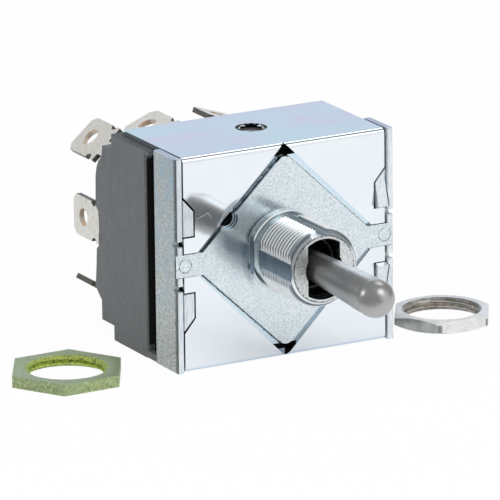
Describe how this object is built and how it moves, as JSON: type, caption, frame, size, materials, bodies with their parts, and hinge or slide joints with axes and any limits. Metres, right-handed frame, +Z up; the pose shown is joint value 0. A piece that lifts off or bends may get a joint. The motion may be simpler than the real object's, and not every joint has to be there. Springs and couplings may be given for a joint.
{
  "type": "panel toggle switch",
  "caption": "Panel-mount bat-lever toggle switch with a threaded keyed bushing, plated box body, moulded base with tab terminals, and loose hexagonal panel nuts.",
  "frame": {"origin": "where the bushing's axis meets the rear face of the panel, in the plane of the collar's front face", "axes": "-Y along the bushing towards the lever's tip, +X to the right seen from the lever, +Z up"},
  "size_m": [0.0792, 0.0642, 0.0326],
  "materials": {
    "bright_cover": "bright clear-passivated zinc plating on folded steel sheet, mirror-like with a faint blue and lilac tint",
    "plated_side": "blue-white zinc plating over drawn sheet with fine lengthwise streaks",
    "zinc_casting": "zinc-plated die casting, fine-grained satin",
    "black_moulding": "black moulded thermoset",
    "natural_moulding": "natural moulded plastic",
    "grey_moulding": "dark grey moulded thermoset with a faint sheen",
    "lever_steel": "nickel-plated turned lever, satin along the shaft and brighter on the ball",
    "plain_steel": "plain steel",
    "screw_steel": "bright plated steel",
    "silver_contact": "silver contact face",
    "contact_copper": "copper alloy strip",
    "tinned_brass": "tin-plated brass, satin, with bare copper colour inside the punched hole",
    "green_chromate": "steel nut with a green-yellow chromate finish",
    "nickel_plate": "nickel-plated nut, satin faces"
  },
  "bodies": {
    "root": {"front_cover_upper": "bright_cover", "front_cover_lower": "bright_cover", "side_plate_left": "plated_side", "side_plate_right": "plated_side", "bushing_plate": "zinc_casting", "bushing_liner": "black_moulding", "lever_pin": "plain_steel", "mechanism_case": "black_moulding", "base": "grey_moulding", "fixed_contacts": "silver_contact", "cover_screws": "screw_steel", "panel_nut_chromate": "green_chromate", "panel_nut_nickel": "nickel_plate", "terminal_1_top": "tinned_brass", "terminal_1_middle": "tinned_brass", "terminal_1_bottom": "tinned_brass", "terminal_2_top": "tinned_brass", "terminal_2_middle": "tinned_brass", "terminal_2_bottom": "tinned_brass", "terminal_3_top": "tinned_brass", "terminal_3_middle": "tinned_brass", "terminal_3_bottom": "tinned_brass"},
    "lever": {"lever": "lever_steel"},
    "carriage": {"actuator": "natural_moulding", "plunger_1": "plain_steel", "plunger_2": "plain_steel", "plunger_3": "plain_steel", "plunger_spring_1": "plain_steel", "plunger_spring_2": "plain_steel", "plunger_spring_3": "plain_steel"},
    "rocker_1": {"contact_rocker_1": "contact_copper"},
    "rocker_2": {"contact_rocker_2": "contact_copper"},
    "rocker_3": {"contact_rocker_3": "contact_copper"}
  },
  "joints": [
    {"name": "lever_toggle", "type": "hinge", "parent": "root", "child": "lever", "pos_m": [0, -0.00175, 0], "axis": [1, 0, 0], "range_deg": [-15, 12]},
    {"name": "carriage_slide", "type": "slide", "parent": "root", "child": "carriage", "axis": [0, 0, 1], "range_m": [-0.00236, 0.00189]},
    {"name": "rocker_1_tilt", "type": "hinge", "parent": "root", "child": "rocker_1", "pos_m": [-0.0137, 0.01755, 0], "axis": [1, 0, 0], "range_deg": [-5.76, 7.2]},
    {"name": "rocker_2_tilt", "type": "hinge", "parent": "root", "child": "rocker_2", "pos_m": [-0.006, 0.01755, 0], "axis": [1, 0, 0], "range_deg": [-5.76, 7.2]},
    {"name": "rocker_3_tilt", "type": "hinge", "parent": "root", "child": "rocker_3", "pos_m": [0.0058, 0.01755, 0], "axis": [1, 0, 0], "range_deg": [-5.76, 7.2]}
  ],
  "couplings": [
    {"joint": "carriage_slide", "follows": "lever_toggle", "m_per_rad": 0.009},
    {"joint": "rocker_1_tilt", "follows": "lever_toggle", "ratio": -0.48},
    {"joint": "rocker_2_tilt", "follows": "lever_toggle", "ratio": -0.48},
    {"joint": "rocker_3_tilt", "follows": "lever_toggle", "ratio": -0.48}
  ]
}
